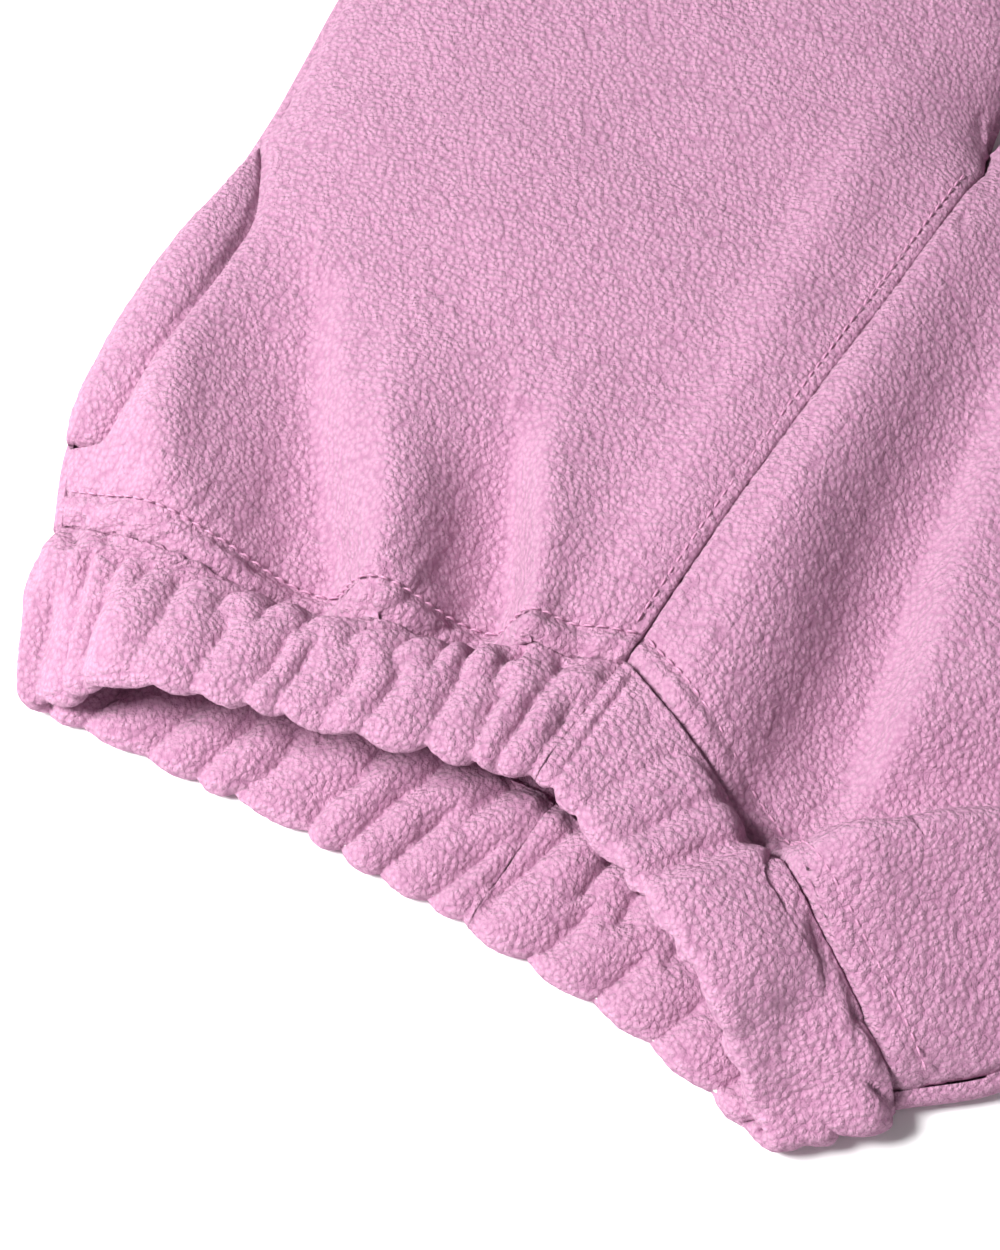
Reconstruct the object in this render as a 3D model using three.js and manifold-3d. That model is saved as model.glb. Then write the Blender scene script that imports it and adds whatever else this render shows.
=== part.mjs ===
// Child's pull-on fleece trousers with an elastic waist, side pockets and elastic ankle cuffs, lying on their back.
// Millimetres, +Z up. The waist opening faces -Y and the legs run towards +Y: the wearer's left leg on the -X side
// nearly straight, the right leg turned out to +X. The box's bottom centre is the origin.
import * as THREE from "three";
import { mergeVertices } from "three/addons/utils/BufferGeometryUtils.js";
import Module from "manifold-3d";

const wasm = await Module();
wasm.setup();

// ---- driving dimensions ----
const fleece = 2.5; // one layer of fleece
const gap = 0.3; // between pieces that are sewn face to face
const inseamGap = gap + fleece / 2; // the same along the inseam, where the edges meet round a turn
const casingInset = 1.8; // a casing's edges stop this far short of its seam
const rise = 180; // waistband seam to crotch along the front
const legEnd = 480; // waistband seam to cuff seam along the leg
const waistband = 36; // height of the waistband, seam to fold
const cuff = 26; // height of an ankle cuff, seam to fold
const elastic = { thickness: 1.5, waist: 29, ankle: 20, room: 0.5 }; // its widths, and its play in the casing
const seamToEdge = 5; // the side seam lies this far inside the folded edge, on the front
const pocketMouth = { start: 16, length: 106, depth: 19.5 }; // along the side seam, and how far the front is cut back
const pocketRoll = { thickness: 2, lift: 4.5, tuck: 9 }; // the rolled facing in the mouth
const pouch = { wall: 1.2, height: 7.6, reach: 78, length: 92, corner: 22, inset: 26 };
const thread = 0.7; // topstitching, drawn as one ridge of thread
const topstitch = { waist: 8, centre: 3.3, cuff: 6 }; // distance of each row from its seam

const foldRadius = (fleece + elastic.thickness) / 2 + elastic.room; // elastic's middle to a casing wall's middle
const layerMiddle = fleece / 2; // height of the middle of a layer that lies on the ground
const casingMiddle = foldRadius + layerMiddle;
const legFrom = 0.72 * rise; // from here to the crotch the front and the back close to a leg

// ---- where the two halves lie ----
// Outlines of the hips by distance from the waistband seam, as [distance, x, y]; below them a straight leg, by the
// middle of its top, the way it points and half its width.
const halves = {
  left: {
    out: -1,
    hip: [[-waistband, -120, -76], [0, -142, -34], [22, -154, -14], [60, -165, 24], [125, -171, 90],
      [rise + 15, -183, 160]],
    inseamTop: [[rise + 18, -5, rise + 18], [rise + 50, -12, rise + 51]],
    leg: { top: [-97, 182], turnedOut: 7, knee: 80, calf: 63, ankle: 50 },
  },
  right: {
    out: 1,
    hip: [[-waistband, 86, -78], [0, 103, -50], [22, 121, -34], [60, 142, -6], [125, 164, 50],
      [rise + 15, 185, 114]],
    inseamTop: [[rise + 18, -4, rise + 18], [rise + 50, 10, rise + 48]],
    leg: { top: [87, 165], turnedOut: 30, knee: 86, calf: 72, ankle: 54 },
  },
};
const kneeAt = legEnd - 150;
const calfAt = legEnd - 50;
for (const half of Object.values(halves)) {
  const { top, turnedOut, knee, calf, ankle } = half.leg;
  const turn = half.out * THREE.MathUtils.degToRad(turnedOut);
  const edge = ([at, width], across) => {
    const [forward, sideways] = [at - rise, across * half.out * width];
    return [at, top[0] + forward * Math.sin(turn) + sideways * Math.cos(turn),
      top[1] + forward * Math.cos(turn) - sideways * Math.sin(turn)];
  };
  const widths = [[kneeAt, knee], [calfAt, calf], [legEnd, ankle], [legEnd + cuff, ankle]];
  half.outer = [...half.hip, ...widths.map((width) => edge(width, 1))];
  half.inseam = [[rise, 0, rise], ...half.inseamTop, ...widths.map((width) => edge(width, -1))];
}
const centreFront = [[-waistband, 0, -37], [0, 0, 0], [rise, 0, rise]];
const centreBack = [[-waistband, 0, -66], [0, 0, -30], [rise, 0, rise]];
const domeHeight = [[-waistband, 33], [0, 29], [45, 31], [110, 28], [rise, 24], [kneeAt, 20], [calfAt, 19],
  [legEnd, 22], [legEnd + cuff, 25]];
const frontBow = { left: { seam: -9, fold: 1 }, right: { seam: 0, fold: 2 } }; // sideways bow of the waistband
const edgeShape = { power: 4, softness: 0.7 }; // how the front falls away to the folded edge
const edgeTurn = { panel: 5.3, casing: 6 }; // radius of the folded edge, at the middle of the layer

// Ridges (+) and hollows (-) of the front: points on the ground, width and height.
const folds = [
  { path: [[-150, -2], [-122, -1], [-104, -11], [-88, -22]], width: 13, height: -7 },
  { path: [[-102, 60], [-90, 13], [-79, -16]], width: 16, height: 3 },
  { path: [[-62, 34], [-49, 13], [-41, -8]], width: 11, height: -7 },
  { path: [[-51, 90], [-47, 46], [-39, 6]], width: 14, height: 3 },
  { path: [[-10, 27], [-10, 57], [-11, 120], [-20, 190]], width: 11, height: 4 },
  { path: [[46, -10], [41, 20], [34, 48], [29, 80], [22, 118]], width: 12, height: -11 },
  { path: [[50, -24], [58, -11], [74, 3], [92, 18], [116, 40], [150, 84]], width: 13, height: 6 },
];

// Distances from the waistband seam at which the panels have a row of corners.
const mouthRows = [0.13, 0.31, 0.5, 0.69, 0.88, 1].map((t) => pocketMouth.start + t * pocketMouth.length);
const crotchRows = [-50, -30, -8, 10, 45].map((offset) => rise + offset);
const rows = [gap, topstitch.waist, topstitch.waist + 4, ...mouthRows, ...crotchRows, (rise + 45 + kneeAt) / 2,
  kneeAt, (kneeAt + calfAt) / 2, calfAt, legEnd - topstitch.cuff, legEnd - gap];
const waistRow = rows.indexOf(topstitch.waist);
const centreRows = (end) => [...rows.keys()].filter((row) => row > waistRow && rows[row] <= end);
const cuffRow = rows.indexOf(legEnd - topstitch.cuff);

// ---- small maths ----
const clamp01 = (t) => Math.min(1, Math.max(0, t));
const ease = (t) => clamp01(t) ** 2 * (3 - 2 * clamp01(t));
const mix = (a, b, t) => a + (b - a) * t;

// Straight between a list's values, by fractional index.
function pick(list, index) {
  const i = Math.min(list.length - 2, Math.max(0, Math.floor(index)));
  return mix(list[i], list[i + 1], index - i);
}

// Smooth values through rows of [distance, ...values]; straight on past both ends.
function through(table, at) {
  const last = table.length - 2;
  let i = 0;
  while (i < last && at > table[i + 1][0]) i++;
  const slope = (k, c) => {
    const lo = table[Math.max(0, k - 1)];
    const hi = table[Math.min(table.length - 1, k + 1)];
    return (hi[c] - lo[c]) / (hi[0] - lo[0]);
  };
  const [a, b] = [table[i], table[i + 1]];
  const span = b[0] - a[0];
  const t = (at - a[0]) / span;
  const [t2, t3] = [t * t, t * t * t];
  return a.slice(1).map((value, k) => {
    const c = k + 1;
    if (t < 0) return value + slope(i, c) * (at - a[0]);
    if (t > 1) return b[c] + slope(i + 1, c) * (at - b[0]);
    return (2 * t3 - 3 * t2 + 1) * value + (t3 - 2 * t2 + t) * span * slope(i, c) +
      (3 * t2 - 2 * t3) * b[c] + (t3 - t2) * span * slope(i + 1, c);
  });
}

function foldHeight(x, y) {
  let total = 0;
  for (const { path, width, height } of folds) {
    let nearest = Infinity;
    for (let i = 0; i + 1 < path.length; i++) {
      const [ax, ay] = path[i];
      const [dx, dy] = [path[i + 1][0] - ax, path[i + 1][1] - ay];
      const t = clamp01(((x - ax) * dx + (y - ay) * dy) / (dx * dx + dy * dy));
      nearest = Math.min(nearest, Math.hypot(x - ax - t * dx, y - ay - t * dy));
    }
    total += height * Math.exp(-((nearest / width) ** 2));
  }
  return total;
}

// ---- the garment's middle surface ----
// The centre seam down to the crotch, then the inseam.
function innerLine(centre, inseam, at) {
  return through(at <= rise ? centre : inseam, at);
}

// One half's cross-section at a distance from the waistband seam: the front from the centre or inseam out to the
// folded edge, then the back home again, as points with their length along the fabric.
const sections = new Map();
function section(side, at) {
  const key = side + at.toFixed(4);
  if (sections.has(key)) return sections.get(key);
  const half = halves[side];
  const outer = through(half.outer, at);
  const closed = ease((at - legFrom) / (rise - legFrom)); // 0 on the hips, 1 on the leg
  const foldFade = ease(1 + at / (waistband - elastic.waist)); // the folds die out in the waistband
  const inCasing = ease(-at / (0.12 * waistband)) + ease((at - legEnd) / (0.12 * cuff));
  const low = mix(layerMiddle, casingMiddle, inCasing);
  const turn = mix(edgeTurn.panel, edgeTurn.casing, inCasing);
  const middle = low + turn;
  const [top] = through(domeHeight, at);
  const bow = mix(frontBow[side].seam, frontBow[side].fold, clamp01(-at / waistband)) * ease(1 - at / 60);
  const steps = 64;
  const points = [];
  const place = (from, across, height, lift) => {
    const x = mix(from[0], outer[0], across);
    const y = mix(from[1], outer[1], across) + lift;
    points.push(new THREE.Vector3(x, y, height(x, y)));
  };
  const { power, softness } = edgeShape;
  const front = innerLine(centreFront, half.inseam, at);
  for (let i = 0; i <= steps; i++) {
    const bothEnds = 0.5 - 0.5 * Math.cos((Math.PI * i) / steps);
    const across = mix(Math.sin((Math.PI / 2) * (i / steps)), bothEnds, closed);
    const rim = Math.max(0, (1 - across ** power) * (1 - closed * (1 - across) ** power)) ** softness;
    place(front, across, (x, y) => middle + (top - middle + foldFade * foldHeight(x, y)) * rim,
      bow * Math.sin(Math.PI * across));
  }
  const back = innerLine(centreBack, half.inseam, at);
  const width = Math.hypot(outer[0] - back[0], outer[1] - back[1]);
  const round = (u) => 1 - Math.sqrt(1 - Math.max(0, u) ** 2);
  for (let i = 1; i <= steps; i++) {
    const bothEnds = 0.5 - 0.5 * Math.cos((Math.PI * i) / steps);
    const home = mix(1 - Math.cos((Math.PI / 2) * (i / steps)), bothEnds, closed);
    const curl = round(1 - (home * width) / turn) + closed * round(1 - ((1 - home) * width) / turn);
    place(back, 1 - home, () => low + turn * curl, 0);
  }
  const lengths = [0];
  for (let i = 1; i < points.length; i++) lengths.push(lengths[i - 1] + points[i].distanceTo(points[i - 1]));
  const made = { points, lengths, edge: lengths[steps], whole: lengths[2 * steps] };
  sections.set(key, made);
  return made;
}

// The point of the middle surface at a length round the section.
function onSurface(side, along, at) {
  const { points, lengths, whole } = section(side, at);
  const l = Math.min(whole, Math.max(0, along));
  let [low, high] = [0, lengths.length - 1];
  while (high - low > 1) {
    const half = (low + high) >> 1;
    if (lengths[half] <= l) low = half;
    else high = half;
  }
  return points[low].clone().lerp(points[high], (l - lengths[low]) / (lengths[high] - lengths[low]));
}

// How far each edge stays from the centre seam or the inseam.
const seamInset = (at) => (at > legFrom ? inseamGap : gap) / 2;

// A surface's unit normal at (u, v), and the surface moved along it.
function normalAt(surface, u, v) {
  const h = 1e-3;
  const across = surface(u + h, v).sub(surface(u - h, v));
  return across.cross(surface(u, v + h).sub(surface(u, v - h))).normalize();
}
const lifted = (surface, u, v, lift) => surface(u, v).addScaledVector(normalAt(surface, u, v), lift);

// ---- solids ----
// A closed solid round the middle surface(u, v), with corners at whole numbers; a ring closes on itself along v.
function sheetSolid(surface, columns, steps, thickness, { ring = false, keep = (p) => p } = {}) {
  const points = [];
  const made = ring ? steps : steps + 1;
  for (const lift of [thickness / 2, -thickness / 2]) {
    for (let j = 0; j < made; j++) {
      for (let i = 0; i <= columns; i++) points.push(keep(lifted(surface, i, j, lift)));
    }
  }
  const layer = made * (columns + 1);
  const id = (i, j, under) => (j % made) * (columns + 1) + i + (under ? layer : 0);
  const faces = [];
  const quad = (a, b, c, d) => faces.push(a, b, c, a, c, d);
  for (let j = 0; j < steps; j++) {
    for (let i = 0; i < columns; i++) {
      quad(id(i, j), id(i + 1, j), id(i + 1, j + 1), id(i, j + 1));
      quad(id(i, j, true), id(i, j + 1, true), id(i + 1, j + 1, true), id(i + 1, j, true));
    }
    quad(id(0, j, true), id(0, j), id(0, j + 1), id(0, j + 1, true));
    quad(id(columns, j), id(columns, j, true), id(columns, j + 1, true), id(columns, j + 1));
  }
  for (let i = 0; i < columns && !ring; i++) {
    quad(id(i, 0, true), id(i + 1, 0, true), id(i + 1, 0), id(i, 0));
    quad(id(i, steps), id(i + 1, steps), id(i + 1, steps, true), id(i, steps, true));
  }
  const geometry = new THREE.BufferGeometry();
  geometry.setAttribute("position", new THREE.Float32BufferAttribute(points.flatMap((p) => p.toArray()), 3));
  geometry.setIndex(faces);
  return facingOut(geometry);
}

function solidOf(geometry) {
  const bare = geometry.clone();
  bare.deleteAttribute("normal");
  bare.deleteAttribute("uv");
  const merged = mergeVertices(bare, 1e-4);
  return new wasm.Manifold(new wasm.Mesh({
    numProp: 3,
    vertProperties: merged.attributes.position.array,
    triVerts: new Uint32Array(merged.index.array),
  }));
}

function facingOut(geometry) {
  if (solidOf(geometry).volume() > 0) return geometry;
  const index = geometry.index.array;
  for (let i = 0; i < index.length; i += 3) [index[i + 1], index[i + 2]] = [index[i + 2], index[i + 1]];
  return geometry;
}

function geometryOf(solid) {
  const mesh = solid.getMesh();
  return new THREE.BufferGeometry()
    .setAttribute("position", new THREE.BufferAttribute(mesh.vertProperties, 3))
    .setIndex(new THREE.BufferAttribute(mesh.triVerts, 1));
}

// The halves meet at the centre seams, each kept on its own side of them.
const ownSide = (side) => (p) => {
  const { out } = halves[side];
  p.x = out * Math.max(out * p.x, gap / 2);
  return p;
};

// ---- leg panels ----
// How far the front is cut back from the side seam by the pocket mouth.
function mouthCut(at) {
  const t = clamp01((at - pocketMouth.start) / pocketMouth.length);
  return pocketMouth.depth * Math.sin(Math.PI * t) ** 0.7;
}
const sideSeam = (side, at) => section(side, at).edge - seamToEdge;
const panelRows = rows.length - 1;

// Columns from the centre seam or inseam, past its topstitching, out to the side seam or the pocket mouth.
const frontColumns = 10;
const frontSurface = (side) => (u, v) => {
  const at = pick(rows, v);
  const end = sideSeam(side, at) - gap / 2 - mouthCut(at);
  const t = (u - 1) / (frontColumns - 1);
  const along = u < 1 ? mix(seamInset(at), topstitch.centre, u)
    : mix(topstitch.centre, end, mix(t, Math.sin((Math.PI / 2) * t), 0.5));
  return onSurface(side, along, at);
};

// Columns from the side seam round the folded edge, across the back and home, closer where the fabric turns.
const backColumns = 10;
const backSurface = (side) => (u, v) => {
  const at = pick(rows, v);
  const { edge, whole } = section(side, at);
  const home = whole - topstitch.centre;
  const stops = [sideSeam(side, at) + gap / 2, edge - 2, edge + 2, edge + 5, edge + 10, mix(edge, home, 0.3),
    mix(edge, home, 0.6), home - 10, home - 4, home, whole - seamInset(at)];
  return onSurface(side, pick(stops, u), at);
};

// ---- elastic casings: fleece folded over the elastic ----
// The length round the section at a fractional step, closer where the fabric turns.
const casingSteps = 19;
function lengthAt(side, at, step, inset) {
  const { edge, whole } = section(side, at);
  const inner = at > rise ? [inset, 3, 8, 13] : [inset, 10, 30, 50];
  const innerEnd = inner[3];
  const turns = [-10, -6, -3, 0, 3, 6, 10].map((offset) => edge + offset);
  const nearBetween = [0.25, 0.5, 0.75].map((t) => mix(innerEnd, turns[0], t));
  const farBetween = [1 / 3, 2 / 3].map((t) => mix(turns[6], whole - innerEnd, t));
  const home = inner.map((offset) => whole - offset).reverse();
  return pick([...inner, ...nearBetween, ...turns, ...farBetween, ...home], step);
}

// A strip from the seam up the outside, over the fold and back down the inside; its ends meet.
function casing(side, seamAt, foldAt, width) {
  const { edge, half, onwards } = casingPlaces(seamAt, foldAt, width);
  const start = seamAt + onwards * casingInset;
  const places = [start, edge, half, foldAt, foldAt + onwards * foldRadius, foldAt, half, edge, start];
  const lifts = [0, foldRadius, foldRadius, foldRadius, 0,
    -foldRadius, -foldRadius, -foldRadius, -fleece - 2 * gap];
  const middle = (at, step) => onSurface(side, lengthAt(side, at, step, seamInset(at)), at);
  const { out } = halves[side];
  const surface = (u, v) => lifted(middle, pick(places, u), v, -out * pick(lifts, u));
  return sheetSolid(surface, places.length - 1, casingSteps, fleece, seamAt ? {} : { keep: ownSide(side) });
}

// The elastic's far edge and middle, as distances from the waistband seam.
function casingPlaces(seamAt, foldAt, width) {
  const onwards = Math.sign(foldAt - seamAt);
  const near = foldAt - onwards * elastic.thickness / 2;
  const edge = near - onwards * width;
  return { edge, half: mix(edge, near, 0.5), near, onwards };
}

// A flat elastic inside the casings, one closed loop through the given halves.
function elasticLoop(loops, seamAt, foldAt, width) {
  const { edge, half, near } = casingPlaces(seamAt, foldAt, width);
  return sheetSolid((u, v) => {
    const outward = v < casingSteps || loops.length === 1;
    const at = pick([near, half, edge], u);
    const side = outward ? loops[0] : loops[1];
    return onSurface(side, lengthAt(side, at, outward ? v : 2 * casingSteps - v, 0), at);
  }, 2, loops.length * casingSteps, elastic.thickness, { ring: true });
}

// ---- pockets ----
// The roll of fleece in the pocket mouth, from the side seam up, over and down towards the pouch.
function pocketFacing(side) {
  const [first, last] = [rows.indexOf(mouthRows[0]), rows.indexOf(mouthRows[0]) + mouthRows.length - 2];
  const lowest = fleece + gap + pouch.height + gap + pocketRoll.thickness / 2; // just over the pouch
  const surface = (u, v) => {
    const at = pick(rows, first + v);
    const cut = mouthCut(at);
    const roll = pocketRoll.lift * (cut / pocketMouth.depth);
    const inwards = [0, 1.5, 0.22 * cut, 0.55 * cut, 0.8 * cut - 1, cut + 1.5, cut + pocketRoll.tuck];
    const lifts = [0, 0, roll, roll, -2, -4, -6.5];
    const point = onSurface(side, sideSeam(side, at) - gap / 2 - pick(inwards, u), at);
    point.z += pick(lifts, u);
    if (u > 5) point.z = Math.max(point.z, lowest);
    return point;
  };
  return sheetSolid(surface, 6, last - first, pocketRoll.thickness);
}

// A flat pouch with round inner corners, open towards the side seam, lying on the inside of the back.
function pocketPouch(side) {
  const outline = (inset, mouth) => {
    const [y0, y1] = [inset, pouch.length - inset];
    const [x1, corner] = [pouch.reach - inset, pouch.corner - inset];
    return new THREE.Shape()
      .moveTo(mouth, y0).lineTo(x1 - corner, y0).quadraticCurveTo(x1, y0, x1, y0 + corner)
      .lineTo(x1, y1 - corner).quadraticCurveTo(x1, y1, x1 - corner, y1).lineTo(mouth, y1);
  };
  const slab = (shape, low, high) => solidOf(
    new THREE.ExtrudeGeometry(shape, { depth: high - low, bevelEnabled: false, curveSegments: 4 })
      .translate(0, 0, low));
  const cut = slab(outline(0, 0), 0, pouch.height)
    .subtract(slab(outline(pouch.wall, -1), pouch.wall, pouch.height - pouch.wall));
  const middle = pocketMouth.start + pocketMouth.length / 2;
  const seam = onSurface(side, sideSeam(side, middle), middle);
  const ahead = onSurface(side, sideSeam(side, middle + 20), middle + 20).sub(seam);
  const { out } = halves[side];
  const inPouch = new THREE.Matrix4().makeScale(-out, 1, 1).setPosition(-out * pouch.inset, -pouch.length / 2, 0);
  const inGarment = new THREE.Matrix4().makeRotationZ(Math.atan2(-ahead.x, ahead.y))
    .setPosition(seam.x, seam.y, fleece + gap);
  return facingOut(geometryOf(cut).applyMatrix4(inPouch).applyMatrix4(inGarment));
}

// ---- topstitching ----
// One ridge of thread over route(v), which gives a surface, its column and its row, and the lift off it.
function stitching(route, steps) {
  const place = (v) => {
    const [surface, column, row, lift] = route(v);
    return { point: lifted(surface, column, row, lift), normal: normalAt(surface, column, row) };
  };
  const h = 1e-3;
  return sheetSolid((u, v) => {
    const { point, normal } = place(v);
    const onwards = place(Math.min(steps, v + h)).point.sub(place(Math.max(0, v - h)).point);
    const across = normal.cross(onwards).normalize();
    return point.addScaledVector(across, (u - 0.5) * thread);
  }, 1, steps, thread);
}
const threadLift = fleece / 2 + gap + thread / 2;

// Along columns from the left side seam to the centre, and back out to the right side seam.
function waistStitching(surfaceOf, lift, columns) {
  const half = columns.length - 1;
  return stitching((v) => {
    const side = v < half ? "left" : "right";
    return [surfaceOf(side), pick(columns, half - Math.abs(v - half)), waistRow, halves[side].out * lift];
  }, 2 * half);
}

// ---- the whole garment ----
const cloth = (colour, roughness) => new THREE.MeshStandardMaterial({ color: colour, roughness, metalness: 0 });
const pinkFleece = cloth(0xdca8c7, 0.95);
const pocketKnit = cloth(0xd39cbd, 0.9);
const whiteElastic = cloth(0xeeeae6, 0.8);
const pinkThread = cloth(0xc98fb2, 0.7);

const trousers = new THREE.Group();
function add(name, geometry, material) {
  const mesh = new THREE.Mesh(geometry, material);
  mesh.name = name;
  trousers.add(mesh);
}

for (const side of ["left", "right"]) {
  const keep = ownSide(side);
  const { out } = halves[side];
  add(`front_panel_${side}`, sheetSolid(frontSurface(side), frontColumns, panelRows, fleece, { keep }), pinkFleece);
  add(`back_panel_${side}`, sheetSolid(backSurface(side), backColumns, panelRows, fleece, { keep }), pinkFleece);
  add(`waistband_${side}`, casing(side, 0, -waistband, elastic.waist), pinkFleece);
  add(`ankle_cuff_${side}`, casing(side, legEnd, legEnd + cuff, elastic.ankle), pinkFleece);
  add(`ankle_elastic_${side}`, elasticLoop([side], legEnd, legEnd + cuff, elastic.ankle), whiteElastic);
  add(`ankle_topstitch_${side}`, stitching((v) => [frontSurface(side), 1 + v, cuffRow, out * threadLift],
    frontColumns - 2), pinkThread);
  add(`pocket_facing_${side}`, pocketFacing(side), pinkFleece);
  add(`pocket_pouch_${side}`, pocketPouch(side), pocketKnit);
}
add("waist_elastic", elasticLoop(["left", "right"], 0, -waistband, elastic.waist), whiteElastic);
const frontStitches = [9.5, 9, 8, 7, 6, 5, 4, 3, 2, 1, 0];
const backStitches = [2, 3, 4, 5, 6, 7, 8, 9, 10];
add("waist_topstitch_front", waistStitching(frontSurface, threadLift, frontStitches), pinkThread);
add("waist_topstitch_back", waistStitching(backSurface, -threadLift, backStitches), pinkThread);
const [frontRows, backRows] = [centreRows(crotchRows[2]), centreRows(crotchRows[1])];
add("centre_front_topstitch", stitching((v) => [frontSurface("left"), 1, pick(frontRows, v),
  halves.left.out * threadLift], frontRows.length - 1), pinkThread);
add("centre_back_topstitch", stitching((v) => [backSurface("left"), backColumns - 1, pick(backRows, v),
  -halves.left.out * threadLift], backRows.length - 1), pinkThread);

// The box's bottom centre is the origin.
const box = new THREE.Box3().setFromObject(trousers);
const centre = box.getCenter(new THREE.Vector3());
trousers.position.set(-centre.x, -centre.y, -box.min.z);

export default trousers;
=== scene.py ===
# Child's fleece pull-on trousers, lying on their back, seen close up at the elastic waist.
# Shapes are worked out in millimetres from the middle of the waistband's front seam, then moved to the frame.
import bpy
import math
import numpy as np
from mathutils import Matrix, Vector


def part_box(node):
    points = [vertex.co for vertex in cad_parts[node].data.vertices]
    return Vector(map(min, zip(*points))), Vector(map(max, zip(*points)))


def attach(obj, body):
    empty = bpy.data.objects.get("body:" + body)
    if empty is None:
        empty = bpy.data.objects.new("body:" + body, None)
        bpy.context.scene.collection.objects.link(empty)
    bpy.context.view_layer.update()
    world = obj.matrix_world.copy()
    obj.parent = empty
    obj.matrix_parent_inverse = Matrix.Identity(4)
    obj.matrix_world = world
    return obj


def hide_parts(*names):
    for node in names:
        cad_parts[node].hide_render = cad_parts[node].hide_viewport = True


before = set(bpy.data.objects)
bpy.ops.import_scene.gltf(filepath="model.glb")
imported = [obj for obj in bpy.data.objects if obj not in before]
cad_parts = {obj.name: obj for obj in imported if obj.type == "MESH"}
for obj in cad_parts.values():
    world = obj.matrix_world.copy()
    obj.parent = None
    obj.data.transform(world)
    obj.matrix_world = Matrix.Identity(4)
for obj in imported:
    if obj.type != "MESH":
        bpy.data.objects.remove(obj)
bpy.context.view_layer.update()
print("frame loaded, boxes read")

# The centre seam runs up the inner face of the left front, and the right half of the waistband reaches
# 81 mm towards the viewer from the middle of the waist seam.
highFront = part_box("front_panel_left")[1]
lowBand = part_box("waistband_right")[0]
seamGap = 0.15
bandReach = 81.01
originX = highFront[0] * 1000 + seamGap
originY = lowBand[1] * 1000 + bandReach
print("the middle of the waist seam is at", round(originX, 3), round(originY, 3))

garment = {
    "fleece": 2.5, "rise": 180.0, "legEnd": 480.0, "band": 36.0, "cuff": 26.0, "kneeUp": 150, "calfUp": 50,
    "seamToEdge": 4.2, "layerMiddle": 1.25, "casingMiddle": 3.75, "turnPanel": 5.3, "turnCasing": 4.6,
}

# the small gaps that keep neighbouring pieces apart at their seams
gaps = {"centre": 0.03, "centreBack": 0.15, "side": 0.04, "facing": 0.02, "waist": 0.1, "ankle": 0.3}

halves = {
    "left": {
        "out": -1,
        "hip": [(-36, -120, -76), (0, -144.5, -35.5), (22, -156, -15), (60, -165, 24), (125, -171, 90),
                (195, -183, 160)],
        "inseamTop": [(198, -5, 198), (230, -12, 231)],
        "leg": {"top": (-97, 182), "turnedOut": 7, "knee": 80, "calf": 63, "ankle": 50},
        "bow": (-9, 0.5), "pinch": 0.24,
    },
    "right": {
        "out": 1,
        "hip": [(-36, 85, -74), (0, 105, -52.5), (22, 122.5, -36), (60, 142, -6), (125, 164, 50),
                (195, 185, 114)],
        "inseamTop": [(198, -4, 198), (230, 10, 228)],
        "leg": {"top": (87, 165), "turnedOut": 30, "knee": 86, "calf": 72, "ankle": 54},
        "bow": (4, 4.5), "pinch": 0.36,
    },
}


def legOutlines():
    # below the hips each leg is straight: its two edges by distance from the waistband seam
    rise, legEnd = garment["rise"], garment["legEnd"]
    for half in halves.values():
        leg = half["leg"]
        turn = half["out"] * math.radians(leg["turnedOut"])
        widths = [(legEnd - garment["kneeUp"], leg["knee"]), (legEnd - garment["calfUp"], leg["calf"]),
                  (legEnd, leg["ankle"]), (legEnd + garment["cuff"], leg["ankle"])]
        edges = []
        for side in (1, -1):
            edge = []
            for at, width in widths:
                sideways = side * half["out"] * width
                edge.append((at, leg["top"][0] + (at - rise) * math.sin(turn) + sideways * math.cos(turn),
                             leg["top"][1] + (at - rise) * math.cos(turn) - sideways * math.sin(turn)))
            edges.append(edge)
        half["outer"] = half["hip"] + edges[0]
        half["inseam"] = [(rise, 0, rise)] + half["inseamTop"] + edges[1]


legOutlines()
# the centre seams and the height of the front's crown, by distance from the waistband seam
centreFront = [(-36, 0, -37), (0, 0, 0), (180, 0, 180)]
centreBack = [(-36, 0, -66), (0, 0, -30), (180, 0, 180)]
domeHeight = [(-36, 33), (0, 28), (45, 30), (110, 27), (180, 22), (330, 19), (430, 18), (480, 21), (506, 24)]

# Ridges and hollows of the front: places with their height, and the widths on the two sides of the line.
folds = {
    "hipPuff": ([(-154, 46, 3), (-143, 16, 9), (-132, -6, 12), (-120, -20, 10), (-108, -30, 4)], (11, 13)),
    "valleyA": ([(-124, 49, -5), (-116, 35, -9), (-101, 15, -14), (-87, -2, -20), (-77, -14, -24),
                 (-71, -25, -20)], (6, 15)),
    "ridgeA": ([(-96, 50, 1), (-83, 24, 4), (-70, 6, 6), (-61, -12, 6)], (12, 7)),
    "valleyB": ([(-58, 40, -3), (-51, 27, -11), (-43, 14, -16), (-37, 3, -19), (-33, -8, -14)], (5.5, 14)),
    "ridgeC": ([(-52, 60, 1), (-42, 32, 4), (-31, 12, 6), (-24, -4, 6)], (10, 6)),
    "dipD": ([(-26, 14, -0.5), (-20, 6, -1.6), (-14, 0, -2.2)], (4, 6)),
    "ridgeE": ([(-8, 6, 2), (-10, 40, 3), (-16, 90, 4), (-24, 140, 4), (-30, 190, 2)], (9, 14)),
    "plateau": ([(16, -2, 4), (14, 30, 6), (12, 60, 7), (9, 100, 6), (6, 150, 3)], (9, 13)),
    "valleyF": ([(54, -16, -17), (54, 0, -25), (52, 18, -24), (48, 38, -20), (43, 60, -15),
                 (39, 84, -10), (35, 108, -6), (28, 134, -3), (20, 156, -1)], (15, 7)),
    "behindG": ([(61, -9, -10), (72, 1, -13), (88, 16, -12), (110, 37, -8), (133, 69, -2)], (17, 5)),
    "crestG": ([(54, -30, 3), (60, -20, 7), (69, -10, 13), (81, 3, 13), (98, 17, 10), (119, 36, 7),
                (153, 78, 2)], (4.5, 18)),
    "crotch": ([(0, 174, -1), (-5, 198, -3)], (5, 5)),
}


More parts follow.
